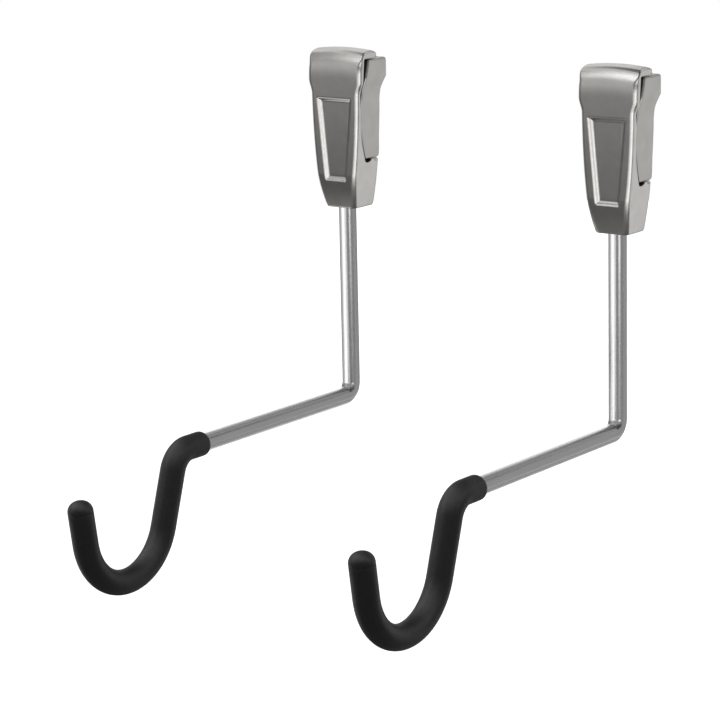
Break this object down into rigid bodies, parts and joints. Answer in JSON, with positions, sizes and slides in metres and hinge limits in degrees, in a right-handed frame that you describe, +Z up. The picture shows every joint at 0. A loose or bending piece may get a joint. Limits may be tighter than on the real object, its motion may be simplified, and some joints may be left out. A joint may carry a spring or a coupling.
{
  "type": "horizontal bike wall mount",
  "caption": "Pair of rail hooks for hanging a bike level: bent steel rods with sleeved U ends, held in cast heads with a sprung latch.",
  "frame": {"origin": "on the front face of the rail, midway between the two hooks, at mid height of the latch noses", "axes": "+Z up, +Y into the wall, +X to the right as seen by someone who faces the wall"},
  "size_m": [0.2148, 0.261, 0.2676],
  "materials": {
    "cast_metal": "satin nickel on a die casting",
    "bright_steel": "bright drawn bar",
    "zinc_steel": "zinc plated",
    "nylon": "natural, moulded",
    "black_sleeve": "matt"
  },
  "bodies": {
    "hooks": {"left_head_body": "cast_metal", "left_lever_pin": "zinc_steel", "left_pivot_washer_1": "nylon", "left_pivot_washer_2": "nylon", "left_latch_spring": "zinc_steel", "left_rod": "bright_steel", "left_rod_lock_pin": "zinc_steel", "left_rod_set_screw": "zinc_steel", "left_grip_sleeve": "black_sleeve", "left_sleeve_end_cap": "black_sleeve", "right_head_body": "cast_metal", "right_lever_pin": "zinc_steel", "right_pivot_washer_1": "nylon", "right_pivot_washer_2": "nylon", "right_latch_spring": "zinc_steel", "right_rod": "bright_steel", "right_rod_lock_pin": "zinc_steel", "right_rod_set_screw": "zinc_steel", "right_grip_sleeve": "black_sleeve", "right_sleeve_end_cap": "black_sleeve"},
    "left_latch": {"left_latch_lever": "cast_metal"},
    "right_latch": {"right_latch_lever": "cast_metal"}
  },
  "joints": [
    {"name": "left_latch", "type": "hinge", "parent": "hooks", "child": "left_latch", "pos_m": [-0.089, -0.0092, -0.0271], "axis": [1, 0, 0], "range_deg": [0, 3], "stiffness_Nm_per_rad": 1, "springref_deg": -8.59, "deforming": ["left_latch_spring"]},
    {"name": "right_latch", "type": "hinge", "parent": "hooks", "child": "right_latch", "pos_m": [0.089, -0.0092, -0.0271], "axis": [1, 0, 0], "range_deg": [0, 3], "stiffness_Nm_per_rad": 1, "springref_deg": -8.59, "deforming": ["right_latch_spring"]}
  ]
}
